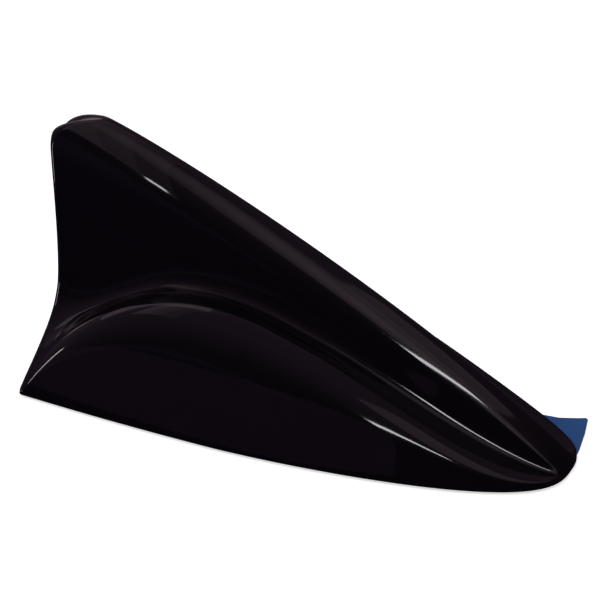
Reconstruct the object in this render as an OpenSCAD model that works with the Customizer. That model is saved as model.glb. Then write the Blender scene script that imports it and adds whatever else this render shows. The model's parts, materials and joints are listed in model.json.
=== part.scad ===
// Stick-on shark fin roof aerial, taken apart into its real pieces.
// Millimetres. X runs to the nose, Z is up, the roof is the plane z = 0.
// The origin is the axis of the cable gland where it meets the roof.

/* [Cover] */
// Length of the footprint from the rear edge to the nose
cover_l = 145; // [138:1:152]
// Width of the footprint
cover_w = 62; // [58:1:66]
// Height of the ridge above the rim at the rear
cover_h = 70.5; // [67:0.5:74]
// Wall of the moulded shell
wall = 2.4; // [2.0:0.1:2.6]
// Gap between the rim and the roof
rim_gap = 0.5; // [0.4:0.1:0.8]
// Height of the shoulder at its peak
shoulder_h = 34; // [32:0.5:36]
// Lean of the side panel inwards at the shoulder
shoulder_in = 6; // [5:0.5:8]
// Width of the ridge
ridge_w = 11.2; // [10.8:0.2:12.6]
// Width of the blade at its foot
blade_foot_w = 17.6; // [16:0.2:20]
// How far the top of the blade leans back
blade_lean = 3.4; // [2:0.2:6]
// Reach of the rounded cap along the ridge
cap_x = 16; // [13:0.5:18]
// Drop of the rounded cap at its rear
cap_z = 11.5; // [9:0.5:12.5]
// Radius of the rear edges
edge_r = 1.6; // [1.2:0.1:2]

/* [Base] */
// Distance from the gland axis to the nose of the cover
gland_to_nose = 45; // [43:0.5:47]
// Thickness of the release film
film_t = 0.25; // [0.25:0.01:0.35]
// Thickness of the foam tape
tape_t = 1.2; // [0.8:0.1:1.4]
// Width of the foam tape ring
tape_w = 8; // [7:0.5:9]
// Thickness of the base plate
plate_t = 3; // [2.8:0.1:3.4]
// Bore of the cable gland
cable_bore = 4.2; // [3.6:0.1:4.6]

/* [Electronics] */
// Length of the amplifier board
board_l = 64; // [62:1:66]
// Width of the amplifier board
board_w = 26; // [24:1:28]
// Thickness of the amplifier board
board_t = 1.6; // [1.2:0.1:1.8]
// Height of the board posts
post_h = 5; // [4.5:0.5:6]
// Turns of the aerial coil
coil_turns = 6; // [5:1:7]
// Distance between turns
coil_pitch = 2.6; // [2.4:0.1:2.8]
// Thickness of the coil wire
coil_wire = 1; // [0.8:0.1:1.2]

/* [Hidden] */
$fn = 48;

// Colours
c_gloss = [0.02, 0.02, 0.025];
c_matt = [0.09, 0.09, 0.1];
c_rubber = [0.05, 0.05, 0.05];
c_foam = [0.16, 0.16, 0.17];
c_film = [0.08, 0.24, 0.42];
c_board = [0.03, 0.25, 0.12];
c_steel = [0.65, 0.66, 0.68];
c_brass = [0.72, 0.55, 0.25];
c_copper = [0.72, 0.38, 0.2];
c_white = [0.85, 0.85, 0.82];
c_ceramic = [0.6, 0.5, 0.38];
c_ferrite = [0.2, 0.2, 0.21];

// Form of the cover
wide_at = 0.4;       // where the footprint is widest, as a share of the length
plan_p = 1.62;       // how soon the footprint narrows
plan_q = 2.8;        // how blunt the nose is in plan
rear_tuck = 2;       // how much narrower the footprint is at the rear corners
ridge_p = 1.1;       // how long the ridge stays high
ridge_q = 1.23;      // how steep the ridge ends at the nose
ridge_drop = 0.2;    // crown of the ridge
ridge_fade = 0.17;   // how slowly the ridge narrows to the nose
crest_a = 0.8;       // rise of the shoulder from the rear corner
crest_b = 1.6;       // fall of the shoulder to the nose
crest_cap = 0.7;     // highest share of the ridge that the shoulder reaches
crest_in = 0.7;      // how much more the panel leans in towards the nose
rim_band = 1.5;      // upright band at the rear corner
foot_rise = 25;      // height of the blade foot at the rear edge
foot_reach = 0.25;   // share of the length over which the foot comes down
foot_dip = 0.26;     // how far the blade foot drops below the shoulder towards the nose
foot_split = 0.22;   // place of the ledge between blade foot and shoulder
ledge_rise = 0.42;   // its height between the two
panel_bulge = 0.45;  // belly of the side panel
panel_mid = 0.44;    // height of the belly, as a share of the shoulder
blade_mid = 0.65;    // where the blade is straight, as a share of its height
rear_bow = 2;        // bow of the rear face
cap_from = 0.78;     // part of the section where the cap rounding starts
nose_at = 0.95;      // where the hollow ends towards the nose

// Mesh of the cover
flank_n = 38;        // columns along the flank
rear_n = 4;          // columns on half of the rear face
corner_n = 5;        // columns round a rear edge
skin_rows = 24;      // rows from rim to ridge
hollow_rows = 10;    // rows of the hollow
core_step = 0.6;     // share of the wall at which the bosses end
tray_n = 24;         // points along one side of the tray

// Clearances
slide = 0.3;         // between plate and cover, tape and cover
press = 0.05;        // between a screw and its pilot, a coil and its former

// Levels
plate_z = film_t + tape_t;
plate_top = plate_z + plate_t;
board_z = plate_top + post_h;
board_top = board_z + board_t;
plate_reach = 0.855; // where the plate ends, as a share of the length
ring_reach = 0.81;   // where its lip and seal end
tape_reach = 0.84;   // where the opening of the tape ring ends
rear_x = gland_to_nose - cover_l;

// Base screws
base_screw_r = 1.4;
base_head_r = 2.7;
base_head_h = 1.4;
base_sink_r = 3.1;
base_sink_h = 1.8;
base_screw_l = 8;
boss_r = 3.2;
rear_spot = [rear_x + 12, cover_w / 2 - 15];
mid_spot = [-9, cover_w / 2 - 14];
base_spots = [[rear_spot[0], -rear_spot[1]], rear_spot, [mid_spot[0], -mid_spot[1]], mid_spot,
    [gland_to_nose - 33, 0]];

// Board and its screws
board_rear = rear_x + 20;
board_front = board_rear + board_l;
board_spot_in = 3.5;  // from a board edge to a screw axis
post_r = 2.6;
board_screw_r = 1;
board_head_r = 1.9;
board_head_h = 1.2;
board_screw_l = 5;
board_spots = [for (x = [board_rear + board_spot_in, board_front - board_spot_in], s = [-1, 1])
    [x, s * (board_w / 2 - board_spot_in)]];

// Seal
seal_w = 1.6;
seal_h = 1.6;
lip_w = 1.4;
lip_h = 2.4;

// Pull tab of the film: distance from the nose, distance from the middle
tab_line = [[-30, 4], [-27, 17], [-17, 24.6], [-11.5, 25.1], [-6.8, 27.2], [-5.2, 28.2],
    [-4.4, 27.6], [-3.8, 24.7], [-2.9, 20.4], [-1.6, 11.8], [-1, 4.3], [-6, 0]];

// Gland
gland_r = 5.5;
gland_flange_r = 7.2;
gland_flange_t = 0.9;
gland_crown = 1.8;

// Shield over the amplifier, between the filter coils and the parts at the front of the board
can_rear = 28;       // from the rear edge of the board
can_front = 12;      // from the front edge of the board
can_l = board_l - can_rear - can_front;
can_x = board_rear + can_rear + can_l / 2;
can_w = board_w - 9;
can_h = 5;
can_t = 0.3;
fence_h = 3;
can_hole_r = 0.8;
chip = [5, 4, 1.45];
chip_lift = 0.15;
chip_x = can_x - can_l / 6;
lead = [0.4, 1.1, 0.5];
lead_pitch = 1.27;

// Small parts on the board
cap_size = [1.25, 2, 0.9];
cap_pitch = 2.2;
row_pitch = 3.4;
row_edge = 2.4;      // from the side edge of the board to the row
can_cap_r = 3;
can_cap_h = 5.4;
can_cap_base = 6.6;
can_cap_y = -4;
drum_x = board_rear + 20.5;
drum_y = 4.5;
drum_r = 2.6;
drum_core_r = 1.6;
drum_h = 3.8;

// Cable socket
socket_size = 6;
socket_x = board_front - socket_size / 2 - 1;
socket_y = 4.5;
socket_z = board_top + socket_size / 2;
barrel_r = 2.6;
barrel_l = 9;
barrel_wall = 0.7;
pin_r = 0.5;

// Coil and its former
coil_x = board_rear + 11;
former_r = 2.6;
former_foot_r = 5;
former_foot_h = 1.6;
coil_r = former_r + press + coil_wire / 2;
coil_z = board_top + former_foot_h + coil_wire;
coil_top = coil_z + coil_turns * coil_pitch;
coil_seg = 20;
coil_sides = 8;
head_z = coil_top + coil_wire;
head_h = 8;
head_l = 22;
head_t = 1.8;
clip_w = 3;
clip_t = 0.4;
clip_l = 4;

// Top plate
sheet_t = 0.8;
top_z = head_z + 1;
top_gap = 7;         // from the top plate to the ridge
top_rear = coil_x - 21;
top_front = coil_x + 25;
top_cut = 2;         // how far the rear top corner is cut off
top_n = 12;          // points along its upper edge
tab_w = 1.6;
plate_screw_r = 0.9;
plate_screw_l = 2.2;
plate_head_r = 1.7;
plate_head_h = 0.9;
plate_spots = [for (a = [-1, 1]) [coil_x + a * 7, head_z + head_h / 2 + 1]];
pad = [8, 2, 6];
pad_x = [coil_x - 15, coil_x + 13];

// Form of the cover: one surface from rim to ridge, from rear face to nose

// Half width of the footprint at a share s of the length
function plan_y(s) = let (t = max(0, (s - wide_at) / (1 - wide_at)), b = max(0, 1 - s / wide_at))
    cover_w / 2 * pow(max(0, 1 - pow(t, plan_p)), 1 / plan_q) - rear_tuck * b * b;

// Height of the ridge
function ridge_z(s) = cover_h * pow(max(0, 1 - pow(s, ridge_p)), 1 / ridge_q);

// Height of the shoulder crest
crest_at = crest_a / (crest_a + crest_b);
function crest_z(s) = min(crest_cap * ridge_z(s), rim_band + (shoulder_h - rim_band)
    * pow(s / crest_at, crest_a) * pow(max(0, 1 - s) / (1 - crest_at), crest_b));

// Guide points of a section: rim, panel, crest, ledge, foot, blade, ridge edge, ridge
function section(s, inset = 0) = let (
    yb = plan_y(s), n = yb / (cover_w / 2), z2 = crest_z(s), z7 = ridge_z(s),
    ye = min(ridge_w / 2 * pow(n, ridge_fade), 0.62 * yb),
    y4 = ye + (blade_foot_w - ridge_w) / 2 * n,
    y2 = max(yb - shoulder_in * (1 + crest_in * s) * n * min(1, z2 / shoulder_h), y4 + 0.1),
    z6 = z7 - ridge_drop * min(1, z7 / 12),
    f = pow(max(0, 1 - s / foot_reach), 2),
    z4 = min(z2 * (1 - foot_dip * s) * (1 - f) + foot_rise * f, z2 + 0.72 * (z6 - z2)),
    z3 = z2 + (z4 - z2) * (ledge_rise + 0.15 * f), y3 = y4 + (y2 - y4) * foot_split,
    low = max(z2 - 0.6 * inset, 0.3), w = inset)
    [[yb - w, 0], [yb - panel_bulge * (yb - y2) - w, low * panel_mid], [y2 - 0.9 * w, low],
     [y3 - 0.5 * w, z3 - w], [y4 - w, z4 - 0.4 * w],
     [(y4 + ye) / 2 - 0.3 * n - w, z4 + (z6 - z4) * blade_mid], [ye - w, z6 - 0.8 * w], [0, z7 - 1.25 * w]];

// Smooth curve on the guide points, from the rim (t = 0) to the ridge (t = 1)
function curve(g, t) = let (
    n = len(g) - 1, q = concat([2 * g[0] - g[1]], g, [[-g[n - 1][0], g[n - 1][1]]]),
    i = min(floor(t * n), n - 1), f = t * n - i, e = 1 - f)
    (q[i] * e * e * e + q[i + 1] * (3 * f * f * f - 6 * f * f + 4)
    + q[i + 2] * (3 * e * e * e - 6 * e * e + 4) + q[i + 3] * f * f * f) / 6;

function smooth(t) = let (c = min(1, max(0, t))) c * c * (3 - 2 * c);
function spread(u) = 1 - pow(1 - pow(u, 1.5), 1.9);

// Rear edge line, leaning back towards the top
function rear_line(z) = rear_x + 1 - blade_lean * pow(max(0, z / cover_h - 0.35) / 0.65, 1.3)
    - max(0, 1 - z / cover_h / 0.35);

cols = rear_n + corner_n + flank_n;

// One point of the +Y half: column c from the rear centre to the nose, row share v
function skin_point(c, v, inset, last, secs) = let (
    r0 = curve(secs[0], v), k = smooth((v - cap_from) / (1 - cap_from)),
    er = max(0.4, edge_r - inset) + (cap_x - edge_r) * k, ez = (cap_z - inset) * k,
    ey = er * r0[0] / (r0[0] + er + 0.001), xr = rear_line(r0[1]) + inset)
    c < rear_n ? let (w = c / rear_n)
        [xr - rear_bow * (1 - w * w) * min(1, r0[0] / 30), (r0[0] - ey) * w, rim_gap + r0[1] - ez]
    : c < rear_n + corner_n ? let (a = 90 * (c - rear_n) / corner_n)
        [xr + er * (1 - cos(a)), r0[0] - ey * (1 - sin(a)), rim_gap + r0[1] - ez * (1 - sin(a))]
    : let (i = c - rear_n - corner_n, s = last * spread(i / flank_n), p = curve(secs[i], v))
        [xr + er + (rear_x + cover_l - xr - er) * s, p[0], rim_gap + p[1]];

function sections(inset, last) =
    [for (i = [0:flank_n - 1]) section(last * spread(i / flank_n), inset)];

// Points of a whole skin, column by column over both sides, then the nose point
function skin(rows, inset, last) = let (secs = sections(inset, last)) concat(
    [for (c = [0:cols - 1], k = [0:2 * rows]) let (
        p = skin_point(c, (k <= rows ? k : 2 * rows - k) / rows, inset, last, secs))
        [p[0], k <= rows ? -p[1] : p[1], p[2]]],
    [[rear_x + cover_l * (last + (1 - last) / 3), 0, rim_gap]]);

// Number of a point; the rear centre and the top of the rear face are shared
function at(c, k, rows) = c == 0 ? min(k, 2 * rows - k)
    : (c <= rear_n && k == rows) ? rows : c * (2 * rows + 1) + k;

function tri(a, b, c) = (a == b || b == c || a == c) ? [] : [[a, c, b]];
function joined(lists) = [for (l = lists, f = l) f];
function turned(faces) = [for (f = faces) [f[2], f[1], f[0]]];
function shifted(faces, n) = [for (f = faces) [f[0] + n, f[1] + n, f[2] + n]];

function skin_faces(rows) = let (nose = cols * (2 * rows + 1)) joined(concat(
    [for (c = [0:cols - 2], k = [0:2 * rows - 1]) let (a = at(c, k, rows), b = at(c + 1, k, rows),
        d = at(c + 1, k + 1, rows), e = at(c, k + 1, rows))
        k < rows ? concat(tri(a, b, d), tri(a, d, e)) : concat(tri(a, b, e), tri(b, d, e))],
    [for (k = [0:2 * rows - 1]) tri(at(cols - 1, k, rows), nose, at(cols - 1, k + 1, rows))]));

// Rim between the outer skin and the hollow
function rim_faces(ro, ri, n) = let (no = cols * (2 * ro + 1), ni = n + cols * (2 * ri + 1)) joined(concat(
    [for (c = [0:cols - 2], s = [0, 1]) let (ko = s * 2 * ro, ki = s * 2 * ri,
        a = at(c, ko, ro), b = at(c + 1, ko, ro), d = n + at(c + 1, ki, ri), e = n + at(c, ki, ri))
        s == 0 ? concat(tri(a, d, b), tri(a, e, d)) : concat(tri(a, b, d), tri(a, d, e))],
    [for (s = [0, 1]) let (a = at(cols - 1, s * 2 * ro, ro), d = n + at(cols - 1, s * 2 * ri, ri))
        s == 0 ? concat(tri(a, ni, no), tri(a, d, ni)) : concat(tri(a, no, ni), tri(a, ni, d))]));

// Closed floor of a skin that is used as a solid
function floor_faces(rows) = let (nose = cols * (2 * rows + 1)) joined(concat(
    [for (c = [0:cols - 2]) let (a = at(c, 0, rows), b = at(c + 1, 0, rows),
        d = at(c + 1, 2 * rows, rows), e = at(c, 2 * rows, rows)) concat(tri(a, d, b), tri(a, e, d))],
    [tri(at(cols - 1, 0, rows), at(cols - 1, 2 * rows, rows), nose)]));

module shell() {
    n = cols * (2 * skin_rows + 1) + 1;
    polyhedron(points = concat(skin(skin_rows, 0, 1), skin(hollow_rows, wall, nose_at)),
        faces = concat(skin_faces(skin_rows), shifted(turned(skin_faces(hollow_rows)), n),
            rim_faces(skin_rows, hollow_rows, n)), convexity = 8);
}

module core() {
    polyhedron(points = skin(hollow_rows, wall * core_step, (1 + nose_at) / 2),
        faces = concat(skin_faces(hollow_rows), floor_faces(hollow_rows)), convexity = 6);
}

// Half width inside the cover at height z, read off the section up to its shoulder crest, and at
// the rear, where the crest comes down to the rim, up to the blade foot
crest_t = 2 / 7;
foot_t = 4 / 7;
function inner_y(s, z) = let (g = section(s, wall), last = s < wide_at ? foot_t : crest_t,
    t = [for (j = [0:12]) let (p = curve(g, last * j / 12)) [p[1], p[0]]]) lookup(z - rim_gap, t);

// Outline inside the cover at height z, moved in by gap, up to a share reach of the length
function tray_half(gap, z, reach) = [for (i = [0:tray_n]) let (s = reach * spread(i / tray_n))
    [rear_x + wall + gap + 1 + (cover_l - 2 * gap - wall - 1) * s, inner_y(s, z) - gap]];
function tray_outline(gap, z, reach) = let (h = tray_half(gap, z, reach))
    concat(h, [for (i = [len(h) - 1:-1:0]) [h[i][0], -h[i][1]]]);

module tray(gap, t) { linear_extrude(t) polygon(tray_outline(gap, plate_top, plate_reach)); }
module ring(gap, w, t) {
    linear_extrude(t) difference() {
        polygon(tray_outline(gap, plate_top + t, ring_reach));
        polygon(tray_outline(gap + w, plate_top + t, ring_reach));
    }
}

module fin_cover() {
    color(c_gloss) {
        shell();
        difference() {
            intersection() {
                core();
                for (p = base_spots)
                    translate([p[0], p[1], plate_top]) cylinder(r = boss_r, h = cover_h);
            }
            for (p = base_spots) translate([p[0], p[1], plate_top - 1])
                cylinder(r = base_screw_r + press, h = base_screw_l - plate_t + 3);
        }
    }
}

module base_plate() {
    color(c_matt) difference() {
        union() {
            translate([0, 0, plate_z]) tray(slide, plate_t);
            translate([0, 0, plate_top]) ring(seal_w + 3 * slide, lip_w, lip_h);
            for (p = board_spots) translate([p[0], p[1], plate_top])
                cylinder(r = post_r, h = post_h);
        }
        for (p = base_spots) translate([p[0], p[1], 0]) {
            translate([0, 0, plate_z - 1]) cylinder(r = base_sink_r, h = base_sink_h + 1);
            cylinder(r = base_screw_r + slide, h = plate_top + 1);
        }
        for (p = board_spots) translate([p[0], p[1], board_z - board_screw_l])
            cylinder(r = board_screw_r + press, h = board_screw_l + 1);
        cylinder(r = gland_r, h = plate_top + 1);
    }
}

module pan_screw(r, l, head_r, head_h) {
    difference() {
        union() {
            translate([0, 0, -l]) cylinder(r = r, h = l);
            cylinder(r1 = head_r, r2 = head_r * 0.75, h = head_h);
        }
        for (a = [0, 90]) rotate(a) translate([-head_r * 0.5, -head_r * 0.12, head_h * 0.4])
            cube([head_r, head_r * 0.24, head_h]);
    }
}

module base_screws() {
    color(c_steel) for (p = base_spots) translate([p[0], p[1], plate_z + base_sink_h])
        mirror([0, 0, 1]) pan_screw(base_screw_r, base_screw_l, base_head_r, base_head_h);
}

module edge_seal() {
    color(c_rubber) translate([0, 0, plate_top]) ring(slide, seal_w, seal_h);
}

module tape_pad() {
    color(c_foam) translate([0, 0, film_t]) difference() {
        tray(slide, tape_t);
        translate([0, 0, -1]) linear_extrude(tape_t + 2)
            polygon(tray_outline(slide + tape_w, plate_top, tape_reach));
    }
}

module release_film() {
    color(c_film) linear_extrude(film_t) {
        difference() {
            polygon(tray_outline(slide, plate_top, plate_reach));
            circle(r = gland_flange_r + slide);
        }
        polygon([for (p = tab_line) [rear_x + cover_l + p[0], p[1]]]);
    }
}

module cable_grommet() {
    edge = 0.5;
    dome = 1.2;
    hi = plate_top + gland_flange_t;
    top = hi + gland_crown;
    color(c_rubber) rotate_extrude() polygon([[cable_bore / 2, 0], [gland_flange_r - edge, 0],
        [gland_flange_r, edge], [gland_flange_r, plate_z], [gland_r, plate_z], [gland_r, plate_top],
        [gland_flange_r, plate_top], [gland_flange_r, hi], [gland_flange_r * 0.7, hi + dome],
        [cable_bore / 2 + dome, top], [cable_bore / 2, top]]);
}

module circuit_board() {
    color(c_board) difference() {
        translate([board_rear, -board_w / 2, board_z]) cube([board_l, board_w, board_t]);
        for (p = board_spots) translate([p[0], p[1], board_z - 1])
            cylinder(r = board_screw_r + slide, h = board_t + 2);
    }
}

module board_screws() {
    color(c_steel) for (p = board_spots) translate([p[0], p[1], board_top])
        pan_screw(board_screw_r, board_screw_l, board_head_r, board_head_h);
}

module box_ring(l, w, h, t) {
    difference() {
        translate([-l / 2, -w / 2, 0]) cube([l, w, h]);
        translate([t - l / 2, t - w / 2, -1]) cube([l - 2 * t, w - 2 * t, h + 2]);
    }
}

module shield_frame() {
    d = 2 * (can_t + press);
    color(c_steel) translate([can_x, 0, board_top]) box_ring(can_l - d, can_w - d, fence_h, can_t);
}

module shield_can() {
    color(c_steel) translate([can_x, 0, board_top]) {
        box_ring(can_l, can_w, can_h, can_t);
        difference() {
            translate([-can_l / 2, -can_w / 2, can_h - can_t]) cube([can_l, can_w, can_t]);
            for (a = [-1, 0, 1]) translate([a * can_l / 4, 0, can_h - 1])
                cylinder(r = can_hole_r, h = 2);
        }
    }
}

module amplifier_chip() {
    color(c_ferrite) translate([chip_x, 0, board_top]) {
        translate([-chip[0] / 2, -chip[1] / 2, chip_lift]) cube(chip);
        for (a = [-1.5:1:1.5], s = [-1, 1])
            translate([a * lead_pitch - lead[0] / 2, s * (chip[1] + lead[1]) / 2 - lead[1] / 2, 0])
                cube([lead[0], lead[1], lead[2]]);
    }
}

// A row inside the shield and a row along the edge of the board
module board_capacitors() {
    first = chip_x + chip[0] / 2 + cap_pitch;
    count = floor((can_x + can_l / 2 - first) / cap_pitch);
    color(c_ceramic) translate([0, 0, board_top]) {
        for (i = [0:count - 1]) translate([first + cap_pitch * i, -can_w * 0.3, 0]) cube(cap_size);
        for (i = [0:3]) translate([can_x - can_l / 2 + 1 + row_pitch * i,
            board_w / 2 - row_edge - cap_size[0], 0]) cube([cap_size[1], cap_size[0], cap_size[2]]);
    }
}

module storage_capacitor() {
    foot = 0.8;
    groove = [1.6, 1.8, 2.1, 2.3];
    bite = 0.2;
    color(c_steel) translate([board_front - can_cap_base, can_cap_y, board_top]) {
        translate([-can_cap_base / 2, -can_cap_base / 2, 0]) cube([can_cap_base, can_cap_base, foot]);
        rotate_extrude() polygon([[0, foot / 2], [can_cap_r, foot / 2], [can_cap_r, groove[0]],
            [can_cap_r - bite, groove[1]], [can_cap_r - bite, groove[2]], [can_cap_r, groove[3]],
            [can_cap_r, can_cap_h - bite], [can_cap_r - bite, can_cap_h], [0, can_cap_h]]);
    }
}

module filter_coils() {
    flange = 0.8;
    color(c_ferrite) for (s = [-1, 1]) translate([drum_x, s * drum_y, board_top])
        rotate_extrude() polygon([[0, 0], [drum_r, 0], [drum_r, flange], [drum_core_r, flange + 0.3],
            [drum_core_r, drum_h - flange - 0.3], [drum_r, drum_h - flange], [drum_r, drum_h],
            [0, drum_h]]);
}

module coax_socket() {
    side = socket_size;
    color(c_brass) translate([socket_x, socket_y, socket_z]) difference() {
        union() {
            translate([-side / 2, -side / 2, -side / 2]) cube([side, side, side]);
            rotate([0, 90, 0]) cylinder(r = barrel_r, h = barrel_l);
        }
        translate([1 - side / 2, 0, 0]) rotate([0, 90, 0])
            cylinder(r = barrel_r - barrel_wall, h = side + barrel_l);
    }
}

module socket_insulator() {
    color(c_white) translate([socket_x + 1 - socket_size / 2, socket_y, socket_z])
        rotate([0, 90, 0]) difference() {
            cylinder(r = barrel_r - barrel_wall, h = socket_size);
            translate([0, 0, -1]) cylinder(r = pin_r, h = socket_size + 2);
        }
}

module socket_pin() {
    tip = 0.8;
    color(c_brass) translate([socket_x + 1 - socket_size / 2, socket_y, socket_z])
        rotate([0, 90, 0]) {
            cylinder(r = pin_r, h = barrel_l);
            translate([0, 0, barrel_l]) cylinder(r1 = pin_r, r2 = pin_r / 2, h = tip);
        }
}

module coil_former() {
    color(c_white) {
        translate([coil_x, 0, board_top]) {
            cylinder(r = former_foot_r, h = former_foot_h);
            cylinder(r = former_r, h = head_z - board_top + 0.5);
        }
        difference() {
            translate([coil_x - head_l / 2, -head_t - sheet_t / 2, head_z])
                cube([head_l, head_t, head_h]);
            for (p = plate_spots) translate([p[0], sheet_t, p[1]]) rotate([90, 0, 0])
                cylinder(r = plate_screw_r + press, h = head_t + 2 * sheet_t);
        }
    }
}

// Wire coil: rings of points swept along a helix
module aerial_coil() {
    n = coil_turns * coil_seg;
    color(c_copper) translate([coil_x, 0, coil_z]) polyhedron(
        points = [for (i = [0:n], j = [0:coil_sides - 1]) let (
            a = 360 * i / coil_seg, b = 360 * j / coil_sides, r = coil_r + coil_wire / 2 * cos(b))
            [r * cos(a), r * sin(a), coil_pitch * i / coil_seg + coil_wire / 2 * sin(b)]],
        faces = concat(
            [for (i = [0:n - 1], j = [0:coil_sides - 1]) let (k = (j + 1) % coil_sides)
                [i * coil_sides + j, i * coil_sides + k, (i + 1) * coil_sides + k]],
            [for (i = [0:n - 1], j = [0:coil_sides - 1]) let (k = (j + 1) % coil_sides)
                [i * coil_sides + j, (i + 1) * coil_sides + k, (i + 1) * coil_sides + j]],
            [[for (j = [coil_sides - 1:-1:0]) j], [for (j = [0:coil_sides - 1]) n * coil_sides + j]]),
        convexity = 10);
}

// Sprung strip that stands on the board and touches the start of the coil
module feed_clip() {
    reach = former_foot_r - coil_r - coil_wire / 2 + slide;
    rise = coil_z - board_top;
    color(c_brass) translate([coil_x + former_foot_r + slide, -clip_w / 2, board_top]) {
        cube([clip_l, clip_w, clip_t]);
        cube([clip_t, clip_w, rise + clip_t]);
        translate([-reach, 0, rise]) cube([reach + clip_t, clip_w, clip_t]);
    }
}

// Upper edge of the top plate at x: it follows the ridge, with the rear corner cut off
function sheet_top(x) = rim_gap - top_gap + min(ridge_z((x - rear_x) / cover_l),
    cover_h - cap_z + 0.3 * (x - top_rear) + top_cut);

module top_plate() {
    tab_x = coil_x + coil_r + coil_wire / 2;
    tab_z = coil_top - slide;
    color(c_brass) difference() {
        translate([0, sheet_t / 2, 0]) rotate([90, 0, 0]) linear_extrude(sheet_t)
            polygon(concat([[top_front, top_z], [tab_x + tab_w, top_z], [tab_x + tab_w, tab_z],
                [tab_x, tab_z], [tab_x, top_z], [top_rear, top_z]],
                [for (i = [0:top_n]) let (x = top_rear + (top_front - top_rear) * i / top_n)
                    [x, sheet_top(x)]]));
        for (p = plate_spots) translate([p[0], sheet_t, p[1]]) rotate([90, 0, 0])
            cylinder(r = plate_screw_r + slide, h = 2 * sheet_t);
    }
}

module plate_screws() {
    color(c_steel) for (p = plate_spots) translate([p[0], sheet_t / 2, p[1]]) rotate([-90, 0, 0])
        pan_screw(plate_screw_r, plate_screw_l, plate_head_r, plate_head_h);
}

module foam_pads() {
    color(c_foam) for (s = [-1, 1], x = pad_x)
        translate([x, s > 0 ? sheet_t / 2 : -sheet_t / 2 - pad[1],
            (top_z + sheet_top(x + pad[0]) - pad[2]) / 2]) cube(pad);
}

fin_cover();
base_plate();
base_screws();
edge_seal();
tape_pad();
release_film();
cable_grommet();
circuit_board();
board_screws();
shield_frame();
shield_can();
amplifier_chip();
board_capacitors();
storage_capacitor();
filter_coils();
coax_socket();
socket_insulator();
socket_pin();
coil_former();
aerial_coil();
feed_clip();
top_plate();
plate_screws();
foam_pads();
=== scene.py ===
"""Looks of a stick-on shark fin roof aerial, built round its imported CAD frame. Metres, roof at z = 0."""

import json
import math

import bpy
import bmesh
import numpy as np
from mathutils import Matrix, Vector


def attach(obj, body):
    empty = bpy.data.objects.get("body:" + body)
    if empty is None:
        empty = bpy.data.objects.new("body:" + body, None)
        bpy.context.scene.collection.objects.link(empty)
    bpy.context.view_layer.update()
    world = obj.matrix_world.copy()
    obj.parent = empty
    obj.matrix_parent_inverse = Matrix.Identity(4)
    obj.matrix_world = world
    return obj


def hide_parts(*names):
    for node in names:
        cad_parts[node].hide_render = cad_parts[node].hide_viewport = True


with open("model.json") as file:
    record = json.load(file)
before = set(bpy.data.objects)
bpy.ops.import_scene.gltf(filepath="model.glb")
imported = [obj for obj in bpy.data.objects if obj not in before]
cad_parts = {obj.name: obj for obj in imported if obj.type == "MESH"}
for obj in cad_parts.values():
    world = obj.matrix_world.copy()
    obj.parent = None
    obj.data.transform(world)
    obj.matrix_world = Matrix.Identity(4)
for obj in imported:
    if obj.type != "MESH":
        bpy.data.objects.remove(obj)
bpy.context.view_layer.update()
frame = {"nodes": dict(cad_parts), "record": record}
scene = bpy.context.scene
MM = 0.001

# Named sizes of the cover, in millimetres, as in the part's source
COVER_L, COVER_W, COVER_H, WALL, RIM_GAP = 145.0, 62.0, 70.5, 2.4, 0.5
SHOULDER_H, SHOULDER_IN, RIDGE_W, BLADE_FOOT_W = 34.0, 6.0, 11.2, 17.6
BLADE_LEAN, CAP_X, CAP_Z, EDGE_R = 3.4, 16.0, 11.5, 1.6
GLAND_TO_NOSE = 45.0
REAR_X = GLAND_TO_NOSE - COVER_L
WIDE_AT, PLAN_P, PLAN_Q, REAR_TUCK = 0.4, 1.62, 2.8, 2.0
RIDGE_P, RIDGE_Q, RIDGE_DROP, RIDGE_FADE = 1.1, 1.23, 0.2, 0.17
CREST_A, CREST_B, CREST_CAP, CREST_IN, RIM_BAND = 0.8, 1.6, 0.7, 0.7, 1.5
FOOT_RISE, FOOT_REACH, FOOT_DIP, FOOT_SPLIT, LEDGE_RISE = 25.0, 0.25, 0.26, 0.22, 0.42
PANEL_BULGE, PANEL_MID, BLADE_MID = 0.45, 0.44, 0.65
REAR_BOW, CAP_FROM, NOSE_AT = 2.0, 0.78, 0.95
BASE_TOP, BOSS_R, PILOT_R, PILOT_DEEP, BOSS_SIDES = 4.45, 3.2, 1.45, 7.4, 33
BOSSES = [(-88, 16), (-88, -16), (-9, 17), (-9, -17), (12, 0)]


# Shape of the cover
def plan_half_width(s):
    """Half width of the footprint: a superellipse from the widest place to the nose, tucked in behind."""
    t = np.clip((s - WIDE_AT) / (1 - WIDE_AT), 0, None)
    b = np.clip(1 - s / WIDE_AT, 0, None)
    return COVER_W / 2 * np.clip(1 - t**PLAN_P, 0, None) ** (1 / PLAN_Q) - REAR_TUCK * b * b


def ridge_height(s):
    """Height of the ridge: a superellipse arc from the cap down to the nose."""
    return COVER_H * np.clip(1 - s**RIDGE_P, 0, None) ** (1 / RIDGE_Q)


def crest_height(s):
    """Height of the shoulder: share to a power times what is left to another, one at its peak."""
    peak = CREST_A / (CREST_A + CREST_B)
    rise = (s / peak) ** CREST_A * (np.clip(1 - s, 0, None) / (1 - peak)) ** CREST_B
    return np.minimum(CREST_CAP * ridge_height(s), RIM_BAND + (SHOULDER_H - RIM_BAND) * rise)


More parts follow.
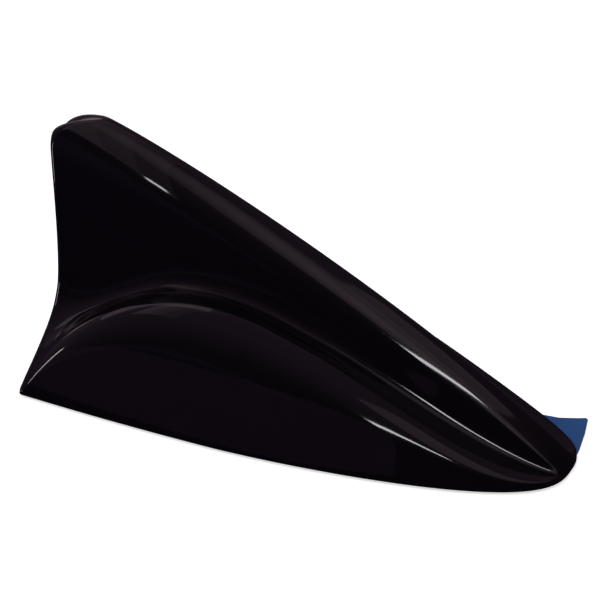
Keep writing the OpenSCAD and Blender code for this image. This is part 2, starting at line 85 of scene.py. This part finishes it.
def section_guides(s, inset):
    """Eight guide points of each cross section, as (y, z).

    From below they are the rim, panel, crest, ledge, foot, blade, edge of the ridge and ridge.
    """
    yb = plan_half_width(s)
    n, z2, z7, w = yb / (COVER_W / 2), crest_height(s), ridge_height(s), inset
    ye = np.minimum(RIDGE_W / 2 * n**RIDGE_FADE, 0.62 * yb)
    y4 = ye + (BLADE_FOOT_W - RIDGE_W) / 2 * n
    y2 = np.maximum(yb - SHOULDER_IN * (1 + CREST_IN * s) * n * np.minimum(1, z2 / SHOULDER_H), y4 + 0.1)
    z6 = z7 - RIDGE_DROP * np.minimum(1, z7 / 12)
    f = np.clip(1 - s / FOOT_REACH, 0, None) ** 2
    z4 = np.minimum(z2 * (1 - FOOT_DIP * s) * (1 - f) + FOOT_RISE * f, z2 + 0.72 * (z6 - z2))
    z3 = z2 + (z4 - z2) * (LEDGE_RISE + 0.15 * f)
    y3 = y4 + (y2 - y4) * FOOT_SPLIT
    low = np.maximum(z2 - 0.6 * w, 0.3)
    y = [yb - w, yb - PANEL_BULGE * (yb - y2) - w, y2 - 0.9 * w, y3 - 0.5 * w,
         y4 - w, (y4 + ye) / 2 - 0.3 * n - w, ye - w, 0 * s]
    z = [0 * s, low * PANEL_MID, low, z3 - w,
         z4 - 0.4 * w, z4 + (z6 - z4) * BLADE_MID, z6 - 0.8 * w, z7 - 1.25 * w]
    return np.stack([np.stack(y, -1), np.stack(z, -1)], -1)


def smooth_curve(g, t):
    """Cubic B-spline on the guide points, its ends reflected so that it starts and ends on them."""
    n = g.shape[-2] - 1
    q = np.concatenate([2 * g[..., :1, :] - g[..., 1:2, :], g, g[..., n - 1 : n, :] * [-1, 1]], -2)
    i = np.minimum((t * n).astype(int), n - 1)
    f = (t * n - i)[:, None]
    e = 1 - f
    return (q[..., i, :] * e**3 + q[..., i + 1, :] * (3 * f**3 - 6 * f * f + 4)
            + q[..., i + 2, :] * (3 * e**3 - 6 * e * e + 4) + q[..., i + 3, :] * f**3) / 6


def rear_line(z):
    """Place of the rear edge at a height: upright, leaning back towards the top."""
    lean = BLADE_LEAN * (np.clip(z / COVER_H - 0.35, 0, None) / 0.65) ** 1.3
    return REAR_X + 1 - lean - np.clip(1 - z / COVER_H / 0.35, 0, None)


def cover_skin(inset, last, flank, corner, rear, rows):
    """Grid of the whole skin, rear centre to nose by rim over ridge to rim, in millimetres.

    Each column of the flank is one B-spline section. Towards the rear the first section turns round a
    quarter ellipse, whose radius grows to the cap, into a slightly bowed rear face.
    """
    v = np.linspace(0, 1, rows + 1)
    u = np.linspace(0, 1, flank + 1)
    s = last * (1 - (1 - u**1.5) ** 1.9)
    g = smooth_curve(section_guides(s, inset), v)
    k = np.clip((v - CAP_FROM) / (1 - CAP_FROM), 0, 1)
    k = k * k * (3 - 2 * k)
    y0, z0 = g[0, :, 0], g[0, :, 1]
    er = max(0.4, EDGE_R - inset) + (CAP_X - EDGE_R) * k
    ez = (CAP_Z - inset) * k
    ey = er * y0 / (y0 + er + 0.001)
    xr = rear_line(z0) + inset
    w = (np.arange(rear) / rear)[:, None]
    turn = 1 - np.sin(np.pi / 2 * np.arange(corner) / corner)[:, None]
    along = 1 - np.cos(np.pi / 2 * np.arange(corner) / corner)[:, None]
    bow = REAR_BOW * (1 - w * w) * np.minimum(1, y0 / 30)
    back = np.stack([xr - bow, (y0 - ey) * w, z0 - ez + 0 * w], -1)
    edge = np.stack([xr + er * along, y0 - ey * turn, z0 - ez * turn], -1)
    side = np.stack([xr + er + (REAR_X + COVER_L - xr - er) * s[:, None], g[..., 0], g[..., 1]], -1)
    half = np.concatenate([back, edge, side]) + [0, 0, RIM_GAP]
    return np.concatenate([half * [1, -1, 1], half[:, -2::-1]], 1)


def grid_faces(rows, cols, start=0, flip=False):
    """Quads of a grid whose points are numbered row by row."""
    i = start + (np.arange(rows - 1)[:, None] * cols + np.arange(cols - 1)).ravel()
    q = np.stack([i, i + cols, i + cols + 1, i + 1], 1)
    return q[:, ::-1] if flip else q


def strip_faces(a, b):
    """Quads between two lines of point numbers."""
    return np.stack([a[:-1], a[1:], b[1:], b[:-1]], 1)


def make_piece(name, points, faces, node, sharp_deg=50):
    """Mesh in metres from points in millimetres, doubles merged, smooth but for its real edges."""
    mesh = bpy.data.meshes.new(name)
    mesh.from_pydata((np.asarray(points) * MM).tolist(), [], np.asarray(faces).tolist())
    b = bmesh.new()
    b.from_mesh(mesh)
    bmesh.ops.remove_doubles(b, verts=b.verts, dist=1e-6)
    bmesh.ops.dissolve_degenerate(b, edges=b.edges, dist=1e-7)
    bmesh.ops.recalc_face_normals(b, faces=b.faces)
    b.to_mesh(mesh)
    b.free()
    mesh.shade_smooth()
    mesh.set_sharp_from_angle(angle=math.radians(sharp_deg))
    piece = bpy.data.objects.new(name, mesh)
    scene.collection.objects.link(piece)
    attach(piece, "root")
    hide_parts(node)
    return piece


def boss_tube(x, y, ceiling):
    """Screw boss: rings of an outer and an inner circle, carried from the tray up into the wall above."""
    a = np.linspace(0, 2 * np.pi, BOSS_SIDES)

    def ring(radius, height):
        return np.stack([x + radius * np.cos(a), y + radius * np.sin(a), height + 0 * a], -1)

    def wall_above(spots):
        return ceiling[((ceiling[None, :, :2] - spots[:, None, :2]) ** 2).sum(-1).argmin(1), 2]

    outer = ring(BOSS_R, 0)
    peak = wall_above(ring(0, 0)[:1])
    bottom = BASE_TOP + PILOT_DEEP
    return np.concatenate([ring(0, peak), ring(BOSS_R, wall_above(outer)), ring(BOSS_R, BASE_TOP),
                           ring(PILOT_R, BASE_TOP), ring(PILOT_R, bottom), ring(0, bottom)])


def build_cover():
    """The moulded shell: outer skin, hollow inside it and the flat rim between, and five screw bosses."""
    flank, corner, rear, rows = 170, 16, 12, 110
    outer = cover_skin(0, 1, flank, corner, rear, rows)
    inner = cover_skin(WALL, NOSE_AT, flank, corner, rear, rows)
    c, r = outer.shape[:2]
    base = c * r
    line = np.arange(c)
    parts = [outer.reshape(-1, 3), inner.reshape(-1, 3)]
    faces = [grid_faces(c, r), grid_faces(c, r, base, True),
             strip_faces(line * r, base + line * r), strip_faces(line * r + r - 1, base + line * r + r - 1)]
    # A coarser skin inside the wall gives the height at which each boss ends
    middle = cover_skin(0.6 * WALL, 0.97, 90, 8, 6, 70).reshape(-1, 3)
    count = 2 * base
    tubes, tube_faces = [], []
    for x, y in BOSSES:
        tubes.append(boss_tube(x, y, middle))
        tube_faces.append(grid_faces(6, BOSS_SIDES, count))
        count += 6 * BOSS_SIDES
    return make_piece("cover_shell", np.concatenate(parts + tubes), np.concatenate(faces + tube_faces),
                      "fin_cover")


cover = build_cover()


# Materials
def colour(hexa):
    """sRGB hex to linear RGBA."""
    v = [int(hexa[i : i + 2], 16) / 255 for i in (1, 3, 5)]
    return [x / 12.92 if x <= 0.04045 else ((x + 0.055) / 1.055) ** 2.4 for x in v] + [1.0]


def add(tree, kind, links=(), **settings):
    """Adds a node, sets its properties and sockets, and links (socket, source) pairs into it.

    A socket is named with _ for a space, or by i and its number.
    """
    node = tree.nodes.new(kind)
    for key, value in settings.items():
        if hasattr(node, key):
            setattr(node, key, value)
    for key, value in settings.items():
        if not hasattr(node, key):
            socket = int(key[1:]) if key[1:].isdigit() else key.replace("_", " ")
            node.inputs[socket].default_value = value
    for socket, source in links:
        tree.links.new(source, node.inputs[socket])
    return node


def surface(name, base, dark, rough, rough_span, grain_mm, bump_mm, bump_grain_mm, metal=0.0):
    """A material whose colour and roughness wander with a noise of a real size, over a fine bump."""
    mat = bpy.data.materials.new(name)
    mat.use_nodes = True
    tree = mat.node_tree
    tree.nodes.clear()
    place = add(tree, "ShaderNodeTexCoord")
    grain = add(tree, "ShaderNodeTexNoise", [("Vector", place.outputs["Object"])],
                Scale=1000 / grain_mm, Detail=3.0, Roughness=0.55)
    tone = add(tree, "ShaderNodeMix", [(0, grain.outputs["Fac"])],
               data_type="RGBA", i6=colour(dark), i7=colour(base))
    gloss = add(tree, "ShaderNodeMapRange", [("Value", grain.outputs["Fac"])],
                To_Min=rough - rough_span, To_Max=rough + rough_span)
    shade = add(tree, "ShaderNodeBsdfPrincipled",
                [("Base Color", tone.outputs[2]), ("Roughness", gloss.outputs[0])], Metallic=metal)
    fine = add(tree, "ShaderNodeTexNoise", [("Vector", place.outputs["Object"])],
               Scale=1000 / bump_grain_mm, Detail=2.0)
    relief = add(tree, "ShaderNodeBump", [("Height", fine.outputs["Fac"])],
                 Strength=1.0, Distance=bump_mm * MM)
    tree.links.new(relief.outputs[0], shade.inputs["Normal"])
    add(tree, "ShaderNodeOutputMaterial", [("Surface", shade.outputs[0])])
    return mat


# Each finish gives two tones, roughness and its span, grain in mm, then depth and grain of the bump in mm
finishes = {
    # Moulded ABS under black lacquer, polished: mirror gloss, with a faint orange peel about 3 mm across
    "gloss_cover": surface("black_lacquer", "#060509", "#040306", 0.06, 0.012, 9, 0.0012, 3),
    # Moulded glass-filled nylon with a spark-eroded face: dull, with a grain of 0.4 mm
    "tray_plastic": surface("black_nylon", "#1b1b1d", "#141416", 0.55, 0.08, 0.8, 0.03, 0.4),
    # Zinc-plated steel screws: grey metal with a bluish cast
    "screw_steel": surface("zinc_plate", "#b9bcc2", "#9a9da4", 0.32, 0.08, 1.5, 0.004, 0.5, metal=1.0),
    # EPDM rubber: black and matt
    "seal_rubber": surface("black_rubber", "#1a1a1a", "#111111", 0.7, 0.08, 1.2, 0.01, 0.5),
    # Closed-cell acrylic foam: dark grey with fine pores of about 0.3 mm
    "tape_foam": surface("acrylic_foam", "#3a3a3c", "#262628", 0.85, 0.08, 0.6, 0.06, 0.3),
    # Blue polyester film, calendered: satin, with a slow change of tone across it
    "blue_film": surface("blue_film", "#245997", "#1e4b89", 0.38, 0.05, 18, 0.004, 4),
    # Green solder resist on glass laminate
    "board_laminate": surface("solder_resist", "#1f6b3a", "#17552d", 0.3, 0.06, 2, 0.006, 0.6),
    # Tinned sheet steel: bright with a soft mottle
    "tinned_steel": surface("tin_plate", "#c9c8c2", "#aeada8", 0.3, 0.07, 2, 0.004, 0.8, metal=1.0),
    # Moulded epoxy body
    "chip_resin": surface("moulded_resin", "#262628", "#1b1b1d", 0.6, 0.06, 0.6, 0.01, 0.2),
    # Fired ceramic of chip capacitors
    "tan_ceramic": surface("fired_ceramic", "#b59a72", "#96794f", 0.4, 0.06, 0.7, 0.004, 0.3),
    # Drawn aluminium can
    "can_aluminium": surface("drawn_aluminium", "#d2d3d5", "#bcbdc0", 0.28, 0.05, 1.2, 0.003, 0.4, metal=1.0),
    # Sintered ferrite: dark grey and dull
    "dark_ferrite": surface("sintered_ferrite", "#3b3b3e", "#2b2b2e", 0.6, 0.08, 0.5, 0.015, 0.2),
    # Bright rolled and turned brass
    "contact_brass": surface("bright_brass", "#d9b25c", "#c09a48", 0.24, 0.06, 2, 0.003, 0.6, metal=1.0),
    # Natural acetal: white with a slight wax
    "white_plastic": surface("natural_acetal", "#dedcd2", "#d2cfc4", 0.42, 0.05, 1.5, 0.006, 0.5),
    # Enamelled copper wire: orange metal under clear enamel
    "coil_copper": surface("enamelled_copper", "#c4632f", "#a84f24", 0.25, 0.05, 1.0, 0.003, 0.4, metal=1.0),
}
for part in frame["record"]["subparts"]:
    mesh = frame["nodes"][part["node"]].data
    mesh.materials.clear()
    mesh.materials.append(finishes[part["material_slot"]])
cover.data.materials.append(finishes["gloss_cover"])


# Floor, studio light and camera
FLOOR_HALF, FLOOR_DROP, FLOOR_LIFT, FLOOR_DIM = 2.5, 0.0002, 0.62, 0.99


def studio_floor():
    """Pale board that the camera sees as white and that keeps the object's shadow.

    The gloss sees it dimly, and a little lighter far behind. From below it is clear.
    """
    mesh = bpy.data.meshes.new("floor")
    corners = [(x * FLOOR_HALF, y * FLOOR_HALF, -FLOOR_DROP) for x, y in ((-1, -1), (1, -1), (1, 1), (-1, 1))]
    mesh.from_pydata(corners, [], [(0, 1, 2, 3)])
    floor = bpy.data.objects.new("floor", mesh)
    scene.collection.objects.link(floor)
    mat = bpy.data.materials.new("pale_floor")
    mat.use_nodes = True
    tree = mat.node_tree
    tree.nodes.clear()
    ray = add(tree, "ShaderNodeLightPath")
    side = add(tree, "ShaderNodeNewGeometry")
    seen = add(tree, "ShaderNodeMath",
               [(0, ray.outputs["Is Camera Ray"]), (1, ray.outputs["Is Transmission Ray"])],
               operation="MAXIMUM")
    lift = add(tree, "ShaderNodeMath", [(0, seen.outputs[0])], operation="MULTIPLY", i1=FLOOR_LIFT)
    board = add(tree, "ShaderNodeBsdfDiffuse", Color=colour("#e8e8e8"))
    glow = add(tree, "ShaderNodeEmission", [("Strength", lift.outputs[0])], Color=(1, 1, 1, 1))
    lit = add(tree, "ShaderNodeAddShader", [(0, board.outputs[0]), (1, glow.outputs[0])])
    place = add(tree, "ShaderNodeTexCoord")
    axes = add(tree, "ShaderNodeSeparateXYZ", [("Vector", place.outputs["Object"])])
    far = add(tree, "ShaderNodeMapRange", [("Value", axes.outputs["X"])], interpolation_type="SMOOTHSTEP",
              From_Min=-0.19, From_Max=-0.33, To_Min=0.024, To_Max=0.07)
    dim = add(tree, "ShaderNodeEmission", [("Strength", far.outputs[0])], Color=(0.85, 0.5, 1.0, 1))
    mirror = add(tree, "ShaderNodeMath", [(0, ray.outputs["Is Glossy Ray"])],
                 operation="MULTIPLY", i1=FLOOR_DIM)
    shown = add(tree, "ShaderNodeMixShader",
                [(0, mirror.outputs[0]), (1, lit.outputs[0]), (2, dim.outputs[0])])
    clear = add(tree, "ShaderNodeBsdfTransparent")
    out = add(tree, "ShaderNodeMixShader",
              [(0, side.outputs["Backfacing"]), (1, shown.outputs[0]), (2, clear.outputs[0])])
    add(tree, "ShaderNodeOutputMaterial", [("Surface", out.outputs[0])])
    mesh.materials.append(mat)


def studio_world():
    """Even room light: white to the camera and soft on the object.

    The gloss sees a dim plum room, lighter up and back.
    """
    world = bpy.data.worlds.new("studio")
    world.use_nodes = True
    world.cycles.sampling_method = "NONE"
    tree = world.node_tree
    tree.nodes.clear()
    ray = add(tree, "ShaderNodeLightPath")
    way = add(tree, "ShaderNodeTexCoord")
    lean = add(tree, "ShaderNodeVectorMath", [(0, way.outputs["Generated"])],
               operation="DOT_PRODUCT", i1=(-0.45, 0, 0.9))
    room = add(tree, "ShaderNodeMapRange", [("Value", lean.outputs["Value"])],
               interpolation_type="SMOOTHSTEP", From_Min=0.0, From_Max=0.9, To_Min=0.025, To_Max=0.15)
    seen = add(tree, "ShaderNodeMath",
               [(0, ray.outputs["Is Camera Ray"]), (1, ray.outputs["Is Transmission Ray"])],
               operation="MAXIMUM")
    plain = add(tree, "ShaderNodeMath", [(0, seen.outputs[0])], operation="MULTIPLY_ADD", i1=0.5, i2=0.5)
    level = add(tree, "ShaderNodeMix",
                [(0, ray.outputs["Is Glossy Ray"]), (2, plain.outputs[0]), (3, room.outputs[0])])
    tint = add(tree, "ShaderNodeMix", [(0, ray.outputs["Is Glossy Ray"])],
               data_type="RGBA", i6=(1, 1, 1, 1), i7=(1, 0.65, 0.95, 1))
    back = add(tree, "ShaderNodeBackground", [("Strength", level.outputs[0]), ("Color", tint.outputs[2])])
    add(tree, "ShaderNodeOutputWorld", [("Surface", back.outputs[0])])
    scene.world = world


AIM, LAMP_DISTANCE = Vector((-0.025, 0.0, 0.025)), 1.2


def away(azimuth, height, distance=LAMP_DISTANCE):
    """Point at an azimuth from the near side (-Y), a height angle and a distance from the object."""
    a, e = math.radians(azimuth), math.radians(height)
    return AIM + Vector((math.sin(a) * math.cos(e), -math.cos(a) * math.cos(e), math.sin(e))) * distance


def strip(name, start, end, width, radiance, gloss=True, diffuse=False, tint=(1, 1, 1), aim=AIM, spread=180):
    """Area lamp between two points, turned to the object.

    Its power is radiance times pi times its area, so radiance 1 looks white. A narrower spread keeps
    the radiance straight ahead and fades to nothing at half the angle.
    """
    start, end = Vector(start), Vector(end)
    centre, along = (start + end) / 2, end - start
    x = along.normalized()
    z = (centre - aim - x * (centre - aim).dot(x)).normalized()
    y = z.cross(x)
    light = bpy.data.lights.new(name, "AREA")
    light.shape = "RECTANGLE"
    light.size, light.size_y = along.length, width
    half = math.radians(spread) / 2
    share = 1 if spread == 180 else 1 - half / math.tan(half)
    light.energy = radiance * math.pi * along.length * width * share
    light.color = tint
    light.spread = math.radians(spread)
    lamp = bpy.data.objects.new(name, light)
    lamp.matrix_world = Matrix.Translation(centre) @ Matrix((x, y, z)).transposed().to_4x4()
    lamp.visible_camera = False
    lamp.visible_glossy = gloss
    lamp.visible_diffuse = diffuse
    scene.collection.objects.link(lamp)


PHOTO_PX = 608


def photo_camera():
    """The photograph's view: back direction, distance, roll and frame shift from the fitted outline.

    The fit turns about the middle of the footprint, 25 mm above the rim.
    """
    azimuth, elevation, roll = (math.radians(x) for x in (24.764, 26.127, 1.134))
    px_per_mm, distance, centre = 3.863, 480.0, (310.974, 322.041)
    target = Vector((COVER_L / 2 + REAR_X, 0, 25 + RIM_GAP))
    level = math.cos(elevation)
    back = Vector((math.sin(azimuth) * level, -math.cos(azimuth) * level, math.sin(elevation)))
    right = Vector((math.cos(azimuth), math.sin(azimuth), 0))
    up = back.cross(right)
    side = right * math.cos(roll) + up * math.sin(roll)
    top = up * math.cos(roll) - right * math.sin(roll)
    data = bpy.data.cameras.new("camera")
    data.sensor_width = 36.0
    data.lens = px_per_mm * distance / PHOTO_PX * data.sensor_width
    data.shift_x = 0.5 - centre[0] / PHOTO_PX
    data.shift_y = centre[1] / PHOTO_PX - 0.5
    data.clip_start, data.clip_end = 0.01, 20
    camera = bpy.data.objects.new("camera", data)
    place = (target + back * distance) * MM
    camera.matrix_world = Matrix.Translation(place) @ Matrix((side, top, back)).transposed().to_4x4()
    scene.collection.objects.link(camera)
    scene.camera = camera


def studio_lamps():
    """One soft panel lights the object; all the others show only in the gloss and stand for the room."""
    warm, rose, plum = (1, 0.76, 0.74), (1, 0.78, 0.86), (1, 0.55, 0.9)
    strip("fill_panel", away(-75, 50), away(5, 50), 0.9, 1.1, gloss=False, diffuse=True)
    strip("front_strip", away(6.5, 18.5), away(36, 42), 0.04, 13)
    strip("ridge_panel", (-0.130, -0.012, 0.109), (0.064, -0.012, 0.015), 0.024, 0.62, tint=rose,
          aim=Vector((-0.033, 0.026, 0.014)), spread=66)
    strip("back_panel", away(142, 45), away(50, 57), 0.34, 0.24, tint=(1, 0.8, 0.84))
    for i in range(4):
        strip("cap_panel_%d" % (i + 1), (-0.135, -0.02, 0.1112),
              (-0.104 + 0.012 * i, -0.02, 0.0962 - 0.0058 * i), 0.08, 0.08, tint=warm)
    strip("rear_panel", away(-112, 8, 0.3), away(-152, 8, 0.3), 0.12, 0.3, tint=(1, 0.8, 0.8))
    strip("left_strip", (-0.229, -0.084, 0.004), (-0.229, -0.084, 0.05), 0.012, 8)
    strip("left_panel", away(-100, 22, 0.9), away(-132, 62, 0.9), 0.3, 0.33, tint=(1, 0.8, 0.95))
    strip("low_card", (-0.30, -0.045, 0.0097), (0.008, -0.045, 0.0097), 0.0194, 0.05, tint=plum)
    strip("front_dot", (-0.1044, -0.0973, 0.0695), (-0.0964, -0.0997, 0.0679), 0.004, 14,
          aim=Vector((-0.06, -0.006, 0.055)), spread=24)


photo_camera()
studio_floor()
studio_world()
studio_lamps()
scene.view_settings.view_transform = "Standard"
